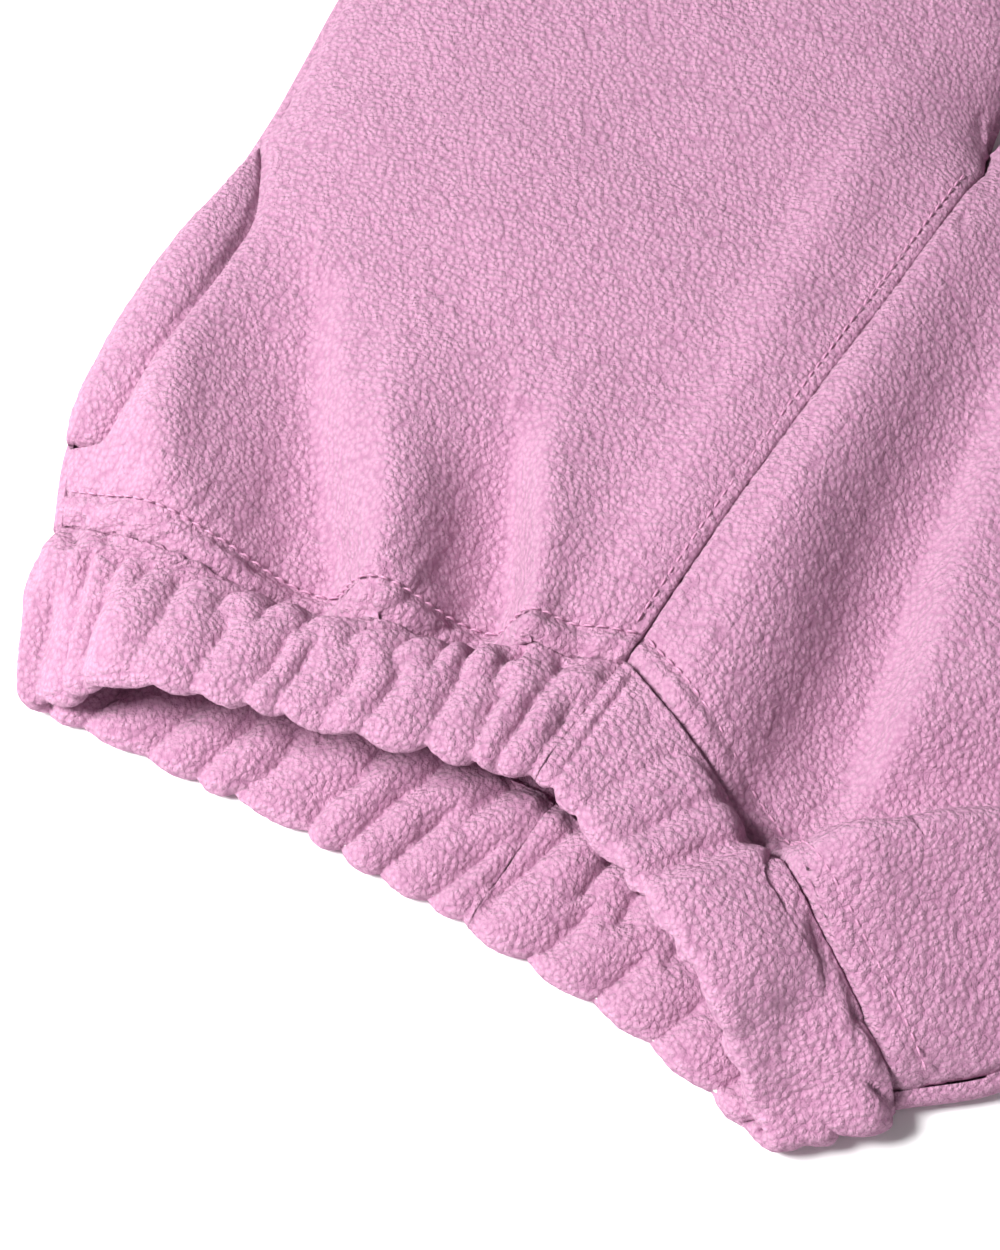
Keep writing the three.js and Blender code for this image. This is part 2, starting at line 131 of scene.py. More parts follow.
def smoothThrough(table, at):
    # smooth values through (distance, ...) rows, and straight on past the ends
    last = len(table) - 2
    i = 0
    while i < last and at > table[i + 1][0]:
        i += 1

    def slope(k, c):
        lo = table[max(0, k - 1)]
        hi = table[min(len(table) - 1, k + 1)]
        return (hi[c] - lo[c]) / (hi[0] - lo[0])

    a, b = table[i], table[i + 1]
    span = b[0] - a[0]
    t = (at - a[0]) / span
    values = []
    for c in range(1, len(a)):
        if t < 0:
            values.append(a[c] + slope(i, c) * (at - a[0]))
        elif t > 1:
            values.append(b[c] + slope(i + 1, c) * (at - b[0]))
        else:
            values.append((2 * t**3 - 3 * t**2 + 1) * a[c] + (t**3 - 2 * t**2 + t) * span * slope(i, c)
                          + (3 * t**2 - 2 * t**3) * b[c] + (t**3 - t**2) * span * slope(i + 1, c))
    return values


def ease(t):
    t = np.clip(t, 0, 1)
    return t * t * (3 - 2 * t)


def ramp(value, start, span):
    # 0 up to the start, and 1 from a span past it
    return ease((value - start) / span)


def mix(a, b, t):
    return a + (b - a) * t


def unit(vectors):
    return vectors / np.maximum(np.linalg.norm(vectors, axis=-1, keepdims=True), 1e-9)


def foldHeight(x, y):
    total = np.zeros_like(x)
    for path, widths in folds.values():
        near = np.full_like(x, np.inf)
        side = np.zeros_like(x)
        height = np.zeros_like(x)
        for (ax, ay, ah), (bx, by, bh) in zip(path, path[1:]):
            dx, dy = bx - ax, by - ay
            t = np.clip(((x - ax) * dx + (y - ay) * dy) / (dx * dx + dy * dy), 0, 1)
            away = np.hypot(x - ax - t * dx, y - ay - t * dy)
            cross = dx * (y - ay) - dy * (x - ax)
            closer = away < near
            near = np.where(closer, away, near)
            side = np.where(closer, cross, side)
            height = np.where(closer, ah + (bh - ah) * t, height)
        width = np.where(side > 0, widths[0], widths[1])
        total += height * np.exp(-((near / width) ** 2))
    return total


# How a cross-section changes from the waistband's fold to the ankle. Pairs are a start and a span.
section = {
    "steps": 400, "legsPart": (14, 34), "intoBand": 4.5, "intoCuff": 3.2, "foldsFade": 9, "bowFade": 60,
    "rimPower": 4.0, "rimSoftness": 0.62, "innerPower": 12.0, "innerOpens": (20, 110), "pinchFade": 26,
    "keepClear": 11.8, "leastRoom": 0.05, "backBow": 2.5,
}
rowCache = {}


def garmentRow(side, at):
    # one half's cross-section at a distance from the waistband seam: the front, then from its edge the back
    key = (side, round(at, 4))
    if key in rowCache:
        return rowCache[key]
    half = halves[side]
    rise = garment["rise"]
    outer = smoothThrough(half["outer"], at)
    before, span = section["legsPart"]
    closed = float(ease((at - rise + before) / span))
    inCasing = float(ease(-at / section["intoBand"]) + ease((at - garment["legEnd"]) / section["intoCuff"]))
    low = mix(garment["layerMiddle"], garment["casingMiddle"], inCasing)
    turn = mix(garment["turnPanel"], garment["turnCasing"], inCasing)
    middle = low + turn
    top = smoothThrough(domeHeight, at)[0]
    foldFade = float(ease(1 + at / section["foldsFade"]))
    towardsFold = min(1, max(0, -at / garment["band"]))
    bow = mix(half["bow"][0], half["bow"][1], towardsFold) * float(ease(1 - at / section["bowFade"]))
    inner = smoothThrough(centreFront, at) if at <= rise else smoothThrough(half["inseam"], at)
    i = np.linspace(0, 1, section["steps"] + 1)
    bothEnds = 0.5 - 0.5 * np.cos(math.pi * i)
    across = mix(np.sin(math.pi / 2 * i), bothEnds, closed)
    power = section["rimPower"]
    beyond, span = section["innerOpens"]
    innerPower = mix(section["innerPower"], power, float(ease((at - rise - beyond) / span)))
    rim = (1 - across**power) * (1 - closed * (1 - across) ** innerPower)
    rim = np.maximum(0, rim) ** section["rimSoftness"]
    x = mix(inner[0], outer[0], across)
    y = mix(inner[1], outer[1], across) + bow * np.sin(math.pi * across)
    if at < 0:
        # near the folded edge the elastic pulls the two layers of the waistband together
        pinched = ease((1 - across) / half["pinch"])
        rim = mix(rim, pinched, float(ease(-at / section["pinchFade"])))
    plain = middle + (top - middle) * rim
    lift = foldFade * foldHeight(x, y) * rim**0.5
    # hollows stay clear of what lies under them
    room = np.maximum(plain - section["keepClear"], section["leastRoom"])
    z = plain + np.where(lift < 0, -room * np.tanh(-lift / room), lift)
    front = np.stack([x, y, z], 1)
    inner = smoothThrough(centreBack, at) if at <= rise else smoothThrough(half["inseam"], at)
    home = mix(1 - np.cos(math.pi / 2 * i), bothEnds, closed)[1:]
    width = math.hypot(outer[0] - inner[0], outer[1] - inner[1])
    backRise = section["backBow"] * towardsFold * np.sin(math.pi * home)

    def roundIn(u):
        return 1 - np.sqrt(1 - np.clip(u, 0, 1) ** 2)

    curl = roundIn(1 - home * width / turn) + closed * roundIn(1 - (1 - home) * width / turn)
    back = np.stack([mix(outer[0], inner[0], home), mix(outer[1], inner[1], home) + backRise,
                     low + turn * curl], 1)
    points = np.concatenate([front, back])
    lengths = np.concatenate([[0], np.cumsum(np.linalg.norm(np.diff(points, axis=0), axis=1))])
    made = {"points": points, "lengths": lengths, "edge": lengths[section["steps"]], "whole": lengths[-1]}
    rowCache[key] = made
    return made


def alongRow(row, lengths):
    return np.stack([np.interp(lengths, row["lengths"], row["points"][:, k]) for k in range(3)], 1)


def layRows(side, ats, lengthsAt):
    # a grid of points on the garment, one row for each distance, at the lengths that a rule gives there
    lengths = np.stack([lengthsAt(garmentRow(side, at), at) for at in ats])
    return np.stack([alongRow(garmentRow(side, at), some) for at, some in zip(ats, lengths)]), lengths


def gridNormals(grid):
    across = np.gradient(grid, axis=1)
    down = np.gradient(grid, axis=0)
    return unit(np.cross(across, down))


def calmed(normals, rowReach, columnReach):
    # normals averaged with their neighbours, so that points lifted along them don't cross
    for axis, reach in ((0, rowReach), (1, columnReach)):
        last = normals.shape[axis] - 1
        places = np.arange(last + 1)
        normals = sum(np.take(normals, np.clip(places + step, 0, last), axis=axis)
                      for step in range(-reach, reach + 1))
    return unit(normals)


noiseLattice = {"cells": (97, 89), "offset": (40.37, 31.11)}


def softNoise(a, b, size, seed):
    # smooth random hills about one size across, from -1 to 1
    rng = np.random.default_rng(seed)
    cells, offset = noiseLattice["cells"], noiseLattice["offset"]
    lattice = rng.uniform(-1, 1, cells)
    u, v = a / size + offset[0], b / size + offset[1]
    i, j = np.floor(u).astype(int), np.floor(v).astype(int)
    fu, fv = ease(u - i), ease(v - j)

    def corner(p, q):
        return lattice[(i + p) % cells[0], (j + q) % cells[1]]

    return mix(mix(corner(0, 0), corner(1, 0), fu), mix(corner(0, 1), corner(1, 1), fu), fv)


def hills(grid, layers):
    # slow unevenness of a sheet: layers of noise with their height, size and seed
    return sum(height * softNoise(grid[..., 0], grid[..., 1], size, seed) for height, size, seed in layers)


def dent(distance, depth, width):
    return -depth * np.exp(-((distance / width) ** 2))


gather = {"reach": 1200, "start": -300, "uneven": (0.62, 1.42), "strength": (0.6, 1.15), "crooked": (1.5, 13),
          "roundness": 0.75, "middle": 0.6}


def gathers(along, down, spacing, seed, slant=0.0):
    # rounded ribs with sharp valleys between them, from 0 to 1, unevenly spaced and a little crooked
    rng = np.random.default_rng(seed)
    count = int(gather["reach"] / spacing)
    valleys = np.cumsum(rng.uniform(*gather["uneven"], count)) * spacing + gather["start"]
    strength = rng.uniform(*gather["strength"], count)
    bend, size = gather["crooked"]
    bent = along + slant * down + bend * softNoise(along, down, size, seed + 1)
    k = np.clip(np.searchsorted(valleys, bent), 1, count - 1)
    t = (bent - valleys[k - 1]) / (valleys[k] - valleys[k - 1])
    return strength[k] * np.abs(np.sin(math.pi * t)) ** gather["roundness"]


uvShare, uvMargin = 0.96, 0.02


def makePiece(name, grid, ring=False):
    # a smooth sheet of quads through a grid of points, with the grid as its UV map
    rows, columns = grid.shape[:2]
    points = grid.reshape(-1, 3) + np.array([originX, originY, 0.0])
    wrap = columns if ring else columns - 1
    r, c = np.meshgrid(np.arange(rows - 1), np.arange(wrap), indexing="ij")
    nextC = (c + 1) % columns
    faces = np.stack([r * columns + c, r * columns + nextC,
                      (r + 1) * columns + nextC, (r + 1) * columns + c], -1).reshape(-1, 4)
    corner = np.stack([np.stack([c, r], -1), np.stack([c + 1, r], -1), np.stack([c + 1, r + 1], -1),
                       np.stack([c, r + 1], -1)], 2).reshape(-1, 2)
    mesh = bpy.data.meshes.new(name)
    mesh.vertices.add(len(points))
    mesh.vertices.foreach_set("co", (points / 1000).astype(np.float32).ravel())
    mesh.loops.add(faces.size)
    mesh.loops.foreach_set("vertex_index", faces.astype(np.int32).ravel())
    mesh.polygons.add(len(faces))
    mesh.polygons.foreach_set("loop_start", np.arange(0, faces.size, 4, dtype=np.int32))
    mesh.polygons.foreach_set("use_smooth", np.ones(len(faces), dtype=bool))
    mesh.update(calc_edges=True)
    uvMap = mesh.uv_layers.new(name="OFBake")
    size = np.array([wrap, rows - 1], float)
    places = corner / size * uvShare + uvMargin
    uvMap.data.foreach_set("uv", places.astype(np.float32).ravel())
    mesh.validate()
    piece = bpy.data.objects.new(name, mesh)
    bpy.context.collection.objects.link(piece)
    return piece


def turnOver(grid, out):
    # the left half runs the other way round, so its rows are taken in reverse to face outwards
    return grid[::-1] if out < 0 else grid


def onlySelect(piece):
    bpy.ops.object.select_all(action="DESELECT")
    piece.select_set(True)
    bpy.context.view_layer.objects.active = piece


nap = {"size": 0.0024, "height": 0.0007, "middle": 0.5}


def raiseNap(piece):
    # the pile's clumps, as a fine displacement of the sheet itself
    onlySelect(piece)
    texture = bpy.data.textures.new(piece.name + "Nap", "CLOUDS")
    texture.noise_scale = nap["size"]
    bpy.ops.object.modifier_add(type="DISPLACE")
    modifier = piece.modifiers[-1]
    modifier.texture = texture
    modifier.texture_coords = "LOCAL"
    modifier.mid_level = nap["middle"]
    modifier.strength = nap["height"]
    bpy.ops.object.modifier_apply(modifier=modifier.name)


# how deep each piece's edges are turned in, and how little of their lean they keep
turnIn = {"front": 3.0, "back": 2.5, "casing": 2.2, "facing": 1.5, "lean": (0.3, 0.3, 1.0)}


def closeSheet(grid, out, kind, right=True):
    # turn the edges of a sheet in, as its seam allowance is, so that neighbours stay together
    depth = turnIn[kind]
    normals = unit(gridNormals(grid) * out * np.array(turnIn["lean"]))
    sides = [(grid[:, 0] - normals[:, 0] * depth)[:, None], grid]
    turned = [normals[:, :1], normals]
    if right:
        sides.append((grid[:, -1] - normals[:, -1] * depth)[:, None])
        turned.append(normals[:, -1:])
    grid = np.concatenate(sides, axis=1)
    normals = np.concatenate(turned, axis=1)
    grid = np.concatenate([(grid[0] - normals[0] * depth)[None], grid,
                           (grid[-1] - normals[-1] * depth)[None]], axis=0)
    return turnOver(grid, out)


# The pocket's mouth, and the facing rolled over it. Each row of the cut is a distance from the waistband seam
# and how far the front's edge lies in from the side seam there.
pocket = {"start": 20.0, "length": 102.0, "roll": 6.2, "tuck": 5.0, "rows": 170, "columns": 54,
          "stretch": {"left": 1.0, "right": 1.12},
          "cut": [(20, 0), (21.5, 10), (26, 14.5), (34, 17.5), (47, 20), (63, 20.5), (81, 18.5), (99, 13.5),
                  (112, 6.5), (122, 0)],
          "startGap": 0.6, "endGap": 1, "fullCut": 17, "crown": (0.9, 0.75), "drop": 3.4,
          "dropAt": (0.93, 0.2), "seamDent": (0.7, 1.6), "hills": [(0.35, 9, 23)], "calm": (12, 9)}


def mouthCut(side, at):
    # how far the front's edge lies in from the side seam; the right pocket opens a little further down
    first, last = pocket["cut"][0][0], pocket["cut"][-1][0]
    at = last - (last - np.asarray(at)) * pocket["stretch"][side]
    smooth = [smoothThrough(pocket["cut"], a)[0] if first < a < last else 0.0 for a in np.ravel(at)]
    return np.reshape(np.maximum(smooth, 0), np.shape(at))


def sideSeam(row):
    return row["edge"] - garment["seamToEdge"]


# Dents are a depth and a width; a puff or a stitch line also has its distance from the seam.
frontPanel = {"columns": 212, "closeRows": 290, "closeTo": 232.0, "farRows": 104,
              "centreDent": (1.3, 1.3), "stitchDent": (0.45, 0.8), "stitchFromCentre": 3.3,
              "stitchEnd": (185, 10), "waistDent": (1.0, 2.0), "waistPuff": (1.2, 4.4, 2.6),
              "waistStitch": (8.4, 0.9, 1.4),
              "puckers": (1.7, 14.0, 9.5), "puckerSlant": 0.12, "puckerMiddle": 0.62,
              "puckerSeed": {"left": 11, "right": 12}, "smootherRight": 0.72, "smootherFrom": (14, 26),
              "sideDent": (1.1, 2.0), "mouthDent": (1.6, 2.6), "mouthFade": 4,
              "hills": [(0.8, 34, 5), (0.4, 15, 6)]}


def panelRows(shape):
    close = np.linspace(gaps["waist"], shape["closeTo"], shape["closeRows"])
    far = np.linspace(shape["closeTo"], garment["legEnd"] - gaps["ankle"], shape["farRows"] + 1)[1:]
    return np.concatenate([close, far])


def waistDetail(side, along, at, strength):
    # the seam to the waistband, the puffed allowance, its topstitching and the puckers that fade away
    shape = frontPanel
    lift = dent(at, *shape["waistDent"])
    puff, place, spread = shape["waistPuff"]
    lift += puff * strength * np.exp(-(((at - place) / spread) ** 2))
    place, depth, width = shape["waistStitch"]
    lift += dent(at - place, depth, width) * strength
    height, fade, spacing = shape["puckers"]
    puckers = gathers(along, at, spacing, shape["puckerSeed"][side], shape["puckerSlant"])
    return lift + height * strength * np.exp(-at / fade) * (puckers - shape["puckerMiddle"])


flush = {"height": 3.0, "rises": (-2, 5), "fades": (6, 28), "fromCentre": (44, 16), "sideFade": 14}


def flushLift(side, at, along):
    # on the right half the front comes up level with the waistband, beyond the deep fold
    if side == "left":
        return 0 * along
    return (flush["height"] * ramp(at, *flush["rises"]) * (1 - ramp(at, *flush["fades"]))
            * ramp(along, *flush["fromCentre"]))


def makeFront(side):
    shape = frontPanel
    out = halves[side]["out"]
    ats = panelRows(shape)
    share = np.linspace(0, 1, shape["columns"])
    grid, lengths = layRows(side, ats, lambda row, at: mix(
        gaps["centre"], sideSeam(row) - gaps["side"] - mouthCut(side, at), share))
    toSeam = np.array([[sideSeam(garmentRow(side, at))] for at in ats]) - lengths
    normals = gridNormals(grid) * out
    at = np.repeat(ats[:, None], shape["columns"], axis=1)
    lift = dent(lengths, *shape["centreDent"])
    strength = 1.0
    if side == "left":
        # the centre seam's topstitching runs down the left front and ends above the crotch
        end, span = shape["stitchEnd"]
        lift += dent(lengths - shape["stitchFromCentre"], *shape["stitchDent"]) * ease((end - at) / span)
    else:
        strength = 1 - shape["smootherRight"] * ramp(lengths, *shape["smootherFrom"])
    lift += waistDetail(side, lengths, at, strength)
    lift += flushLift(side, at, lengths) * ease(toSeam / flush["sideFade"])
    lift += dent(toSeam, *shape["sideDent"])
    cut = np.repeat(mouthCut(side, ats)[:, None], shape["columns"], axis=1)
    lift += dent(toSeam - cut, *shape["mouthDent"]) * ease(cut / shape["mouthFade"])
    lift += hills(grid, shape["hills"])
    return closeSheet(grid + normals * lift[..., None], out, "front")


# The backs have closer columns round the folded edge than on the flat.
backPanel = {"columns": 120, "turnColumns": 44, "bend": 11, "closeRows": 150, "closeTo": 232.0, "farRows": 84,
             "seamDent": (1.1, 1.8), "hills": [(0.35, 18, 9)], "underside": 4, "undersideDent": -0.2,
             "step": 1.1, "stepWidth": 5, "lowest": 0.1}


def makeBack(side):
    shape = backPanel
    out = halves[side]["out"]

    def columnsAt(row, at):
        begin, end = sideSeam(row) + gaps["side"], row["whole"] - gaps["centreBack"]
        bend = row["edge"] + shape["bend"]
        return np.concatenate([np.linspace(begin, bend, shape["turnColumns"], endpoint=False),
                               np.linspace(bend, end, shape["columns"] - shape["turnColumns"])])

    grid, lengths = layRows(side, panelRows(shape), columnsAt)
    normals = gridNormals(grid) * out
    fromSeam = lengths - lengths[:, :1]
    lift = dent(fromSeam, *shape["seamDent"]) + hills(grid, shape["hills"])
    lift = np.where(grid[..., 2] < shape["underside"], np.maximum(lift, shape["undersideDent"]), lift)
    grid = grid + normals * lift[..., None]
    # a low step at the side seam, and nothing under the ground
    step = shape["step"] * ease(fromSeam / shape["stepWidth"])
    grid[..., 2] = np.maximum(grid[..., 2] - step, shape["lowest"])
    return closeSheet(grid, out, "back")


# The waistband and the ankle cuffs are each a strip of fleece folded over the elastic.
casing = {"wall": 3.75, "bulge": 1.0, "bulgePower": 0.8, "insideBulge": 0.5, "foldDepth": 0.6,
          "seamTuck": {"left": -0.6, "right": 1.5}, "insideTuck": 0.6, "open": {"left": 9.0, "right": 6.0},
          "spare": 1.2, "steps": 60, "calm": (3, 10), "squareWithin": 9, "lowest": 0.25}


def casingProfile(side, height, rows):
    # distance from the seam and lift off the casing's middle, from the outer seam over the fold and back in
    wall, bulge = casing["wall"], casing["bulge"]
    straight = height - wall * casing["foldDepth"]
    turnLength = math.pi * wall
    total = 2 * straight + turnLength
    s = np.linspace(0, total, rows)
    down = np.clip(np.where(s < total / 2, s, total - s), 0, straight)
    opened = ease(down / casing["open"][side])
    swell = bulge * np.sin(math.pi * np.clip(down / straight, 0, 1)) ** casing["bulgePower"]
    angle = np.clip((s - straight) / turnLength, 0, 1) * math.pi
    turning = (s > straight) & (s < straight + turnLength)
    outside = s <= total / 2
    start = np.where(outside, casing["seamTuck"][side], -garment["fleece"] - casing["insideTuck"])
    swell = np.where(outside, swell, -swell * casing["insideBulge"])
    lift = mix(start, np.where(outside, wall, -wall), opened) + swell
    lift = np.where(turning, wall * np.cos(angle), lift)
    place = np.where(turning, straight + wall * np.sin(angle), down)
    return place, lift, s, down


def squareToCentre(normals, around, fromBack):
    # the two halves meet face to face where their centre seams run
    within = casing["squareWithin"]
    normals = normals.copy()
    normals[..., 0] *= ease(around / within) * ease(fromBack / within)
    return unit(normals)


def makeCasing(side, seamAt, foldAt, columns, rows):
    # the strip's grid, and for each point its lengths from the two centre seams and its place in the strip
    onwards = 1 if foldAt > seamAt else -1
    height = abs(foldAt - seamAt)
    facingSign = halves[side]["out"] * onwards
    place, lift, s, down = casingProfile(side, height, rows)
    steps = np.linspace(0, height + casing["wall"] * casing["spare"], casing["steps"])
    middle, lengths = layRows(side, seamAt + onwards * steps, lambda row, at: np.linspace(
        gaps["centre"], row["whole"] - gaps["centre"], columns))
    normals = calmed(gridNormals(middle) * facingSign, *casing["calm"])
    where = np.interp(place, steps, np.arange(len(steps)))
    k = np.minimum(where.astype(int), len(steps) - 2)
    t = (where - k)[:, None, None]
    points = mix(middle[k], middle[k + 1], t)
    facing = mix(normals[k], normals[k + 1], t)
    around = mix(lengths[k], lengths[k + 1], t[..., 0])
    wholes = np.array([garmentRow(side, seamAt + onwards * step)["whole"] for step in steps])
    fromBack = mix(wholes[k], wholes[k + 1], t[:, 0, 0])[:, None] - around
    if seamAt == 0:
        facing = squareToCentre(facing, around, fromBack)
    return {"grid": points + facing * lift[:, None, None], "facing": facingSign,
            "around": around, "fromBack": fromBack, "strip": np.repeat(s[:, None], columns, axis=1),
            "down": np.repeat(down[:, None], columns, axis=1)}


def closeCasing(grid, normals, lift, facingSign):
    # the casing with its ribs raised, kept off the ground, and its edges turned in
    grid = grid + normals * lift[..., None]
    grid[..., 2] = np.maximum(grid[..., 2], casing["lowest"])
    return closeSheet(grid, facingSign, "casing")


# Ribs are a height and a spacing; other pairs are mostly a start and a span, in millimetres or shares.
waistband = {
    "columns": 540, "rows": 132, "calm": (1, 8), "grooveLimit": 2.4,
    "left": {"front": (3.3, 9.8), "lean": (0.25, 0.14), "inside": (4.0, 13.0), "seed": 31},
    "right": {"front": (1.1, 15.0), "lean": (0.4, 0.3), "inside": (4.0, 12.5), "seed": 47},
    "turnsInside": (0.46, 0.08), "turnsBack": (6, 12), "ribsChange": (9, 12), "changed": 1.12,
    "backSpacing": 1.08, "backLean": (-0.16, -0.22), "insideLean": 0.05,
    "nearSeam": 3.0, "seamShare": 0.35, "nearFold": (24, 9), "foldInside": 0.8, "foldShare": (0.35, 0.6),
    "endStart": 0.25, "endSpan": 5, "centreDent": (1.3, 1.7), "backDent": (1.2, 2.4), "dentEnds": (24, 7),
    "uneven": (0.5, 9),
}

# The right half's front is smooth, with a few long folds (place, slant, depth, width) and a raised part.
rightBand = {
    "calmFrom": (4, 6), "calmTo": (66, 14), "calmShare": 0.35, "middle": 18, "foldsFrom": 6,
    "folds": [(20, -0.35, 1.2, 2.2), (33, -0.45, 1.8, 2.4), (44, -0.5, 2.6, 2.6)],
    "seamGroove": (4.6, 1.0, 1.1), "raised": 2.2, "raisedFrom": (46, 4), "raisedSlant": 0.5,
    "raisedTo": (66, 22), "raisedEdge": 9,
}


def rightBandFolds(lift, around, strip, inside, back):
    shape = rightBand
    outside = 1 - inside
    fromMiddle = strip - shape["middle"]
    calm = ramp(around, *shape["calmFrom"]) * (1 - ramp(around, *shape["calmTo"])) * outside
    lift = mix(lift, shape["calmShare"] * lift, calm)
    begun = ease(strip / shape["foldsFrom"])
    for place, slant, depth, width in shape["folds"]:
        lift += dent(around - place - slant * fromMiddle, depth, width) * outside * begun
    place, depth, width = shape["seamGroove"]
    lift += dent(around - place, depth, width) * (1 - back)
    start, span = shape["raisedFrom"]
    raised = ease((around - start + shape["raisedSlant"] * fromMiddle) / span)
    raised = raised * (1 - ramp(around, *shape["raisedTo"]))
    return lift + shape["raised"] * raised * outside * ease(strip / shape["raisedEdge"])


def makeWaistband(side):
    shape, ribs = waistband, waistband[side]
    made = makeCasing(side, 0.0, -garment["band"], shape["columns"], shape["rows"])
    grid, around, fromBack = made["grid"], made["around"], made["fromBack"]
    strip, down = made["strip"], made["down"]
    normals = squareToCentre(calmed(gridNormals(grid) * made["facing"], *shape["calm"]), around, fromBack)
    edge = garmentRow(side, -garment["band"] / 2)["edge"]
    total = strip.max()
    start, span = shape["turnsInside"]
    inside = ease((strip - total * start) / (total * span))
    before, span = shape["turnsBack"]
    back = ease((around - edge + before) / span)
    seed, lean, average = ribs["seed"], ribs["lean"], gather["middle"]
    # the ribs differ from the seam to the fold: some run through, some stop or fork
    changed = ramp(down, *shape["ribsChange"])
    height, spacing = ribs["front"]
    front = mix(gathers(around, strip, spacing, seed, lean[0]),
                gathers(around, strip, spacing * shape["changed"], seed + 5, lean[1]), changed)
    front = height * (front - average)
    height, spacing = ribs["inside"]
    out = halves[side]["out"]
    fold = strip - total / 2
    lean = shape["backLean"]
    within = mix(gathers(fromBack, fold, spacing * shape["backSpacing"], seed + 9, lean[0] * out),
                 gathers(fromBack, fold, spacing, seed + 13, lean[1] * out), changed)
    within = height * (within - average)
    frontInside = height * (gathers(around, fold, spacing, seed + 17, shape["insideLean"]) - average)
    lift = mix(mix(front, frontInside, inside), within, back)
    if side == "right":
        lift = rightBandFolds(lift, around, strip, inside, back)
    # the ribs are lower along the seam, the fold and the centre seams
    nearSeam = ease(down / shape["nearSeam"])
    nearFold = ramp(down, *shape["nearFold"]) * (1 - shape["foldInside"] * inside)
    lift = lift * mix(shape["seamShare"], 1.0, nearSeam) * (1 - nearFold * mix(*shape["foldShare"], back))
    start, span = shape["endStart"], shape["endSpan"]
    lift *= ease(start + around / span) * ease(start + fromBack / span)
    dents = dent(around, *shape["centreDent"]) + dent(fromBack, *shape["backDent"]) * inside
    lift += dents * (1 - ramp(down, *shape["dentEnds"]))
    height, size = shape["uneven"]
    lift += height * softNoise(around, strip, size, seed + 21)
    lift = np.maximum(lift, -shape["grooveLimit"])
    return closeCasing(grid, normals, lift, made["facing"])


cuffShape = {"columns": 250, "rows": 74, "ribs": (1.2, 7.5), "lean": 0.08, "seed": 71,
             "nearSeam": 3, "seamShare": 0.3, "endDent": (1.2, 1.5)}


def makeCuff(side):
    shape = cuffShape
    legEnd = garment["legEnd"]
    made = makeCasing(side, legEnd, legEnd + garment["cuff"], shape["columns"], shape["rows"])
    grid, around = made["grid"], made["around"]
    height, spacing = shape["ribs"]
    ribs = gathers(around, made["strip"], spacing, shape["seed"], shape["lean"])
    lift = height * (ribs - gather["middle"]) * ease(made["down"] / shape["nearSeam"] + shape["seamShare"])
    lift += dent(around, *shape["endDent"]) + dent(around - around.max(), *shape["endDent"])
    return closeCasing(grid, gridNormals(grid) * made["facing"], lift, made["facing"])


elasticShape = {"waistWidth": 29.0, "ankleWidth": 20.0, "waistColumns": 220, "ankleColumns": 150, "rows": 14,
                "thick": 1.5, "rib": 0.12}


def makeElastic(sides, seamAt, foldAt, width, columns):
    # a closed woven loop up against the fold; the waist's runs round the left half and back round the right
    onwards = 1 if foldAt > seamAt else -1
    end = foldAt - onwards * elasticShape["thick"] / 2
    ats = np.linspace(end, end - onwards * width, elasticShape["rows"])
    parts = []
    for side in sides:
        def lengthsAt(row, at):
            lengths = np.linspace(0, row["whole"], columns + 1)[:-1]
            return lengths if side == sides[0] else row["whole"] - lengths

        parts.append(layRows(side, ats, lengthsAt)[0])
    middle = np.concatenate(parts, axis=1)
    across = np.roll(middle, -1, axis=1) - np.roll(middle, 1, axis=1)
    normals = unit(np.cross(across, np.gradient(middle, axis=0)))
    weave = elasticShape["rib"] * (np.arange(len(ats)) % 2)[:, None, None]
    half = elasticShape["thick"] / 2
    upper = middle + normals * (half - weave)
    lower = middle - normals * (half - weave)
    return np.concatenate([upper, lower[::-1], upper[:1]], axis=0)


def makeFacing(side):
    # from the side seam up and over the roll, then down under the front's edge
    out = halves[side]["out"]
    ats = np.linspace(pocket["start"] + pocket["startGap"],
                      pocket["start"] + pocket["length"] - pocket["endGap"], pocket["rows"])
    cut = mouthCut(side, ats)[:, None]
    inwards = np.linspace(0, 1, pocket["columns"]) * (cut + pocket["tuck"])
    reach = dict(zip(ats, inwards))
    grid = layRows(side, ats, lambda row, at: sideSeam(row) - gaps["facing"] - reach[at])[0]
    t = inwards / np.maximum(cut, 1e-3)
    skew, roundness = pocket["crown"]
    bump = np.sin(math.pi * np.clip(t, 0, 1) ** skew) ** roundness
    roll = pocket["roll"] * np.minimum(1, cut / pocket["fullCut"]) * bump
    roll -= pocket["drop"] * ramp(t, *pocket["dropAt"]) - dent(inwards, *pocket["seamDent"])
    normals = calmed(gridNormals(grid) * -out, *pocket["calm"])
    lift = roll + hills(grid, pocket["hills"])
    return closeSheet(grid + normals * lift[..., None], -out, "facing", right=False)


pouchShape = {"from": 24, "to": 114, "rows": 40, "columns": 90, "fromSeam": 26, "reach": 76.0, "thick": 3.1,
              "taper": (0.22, 4), "crown": 0.35, "closing": (0.9, 6)}


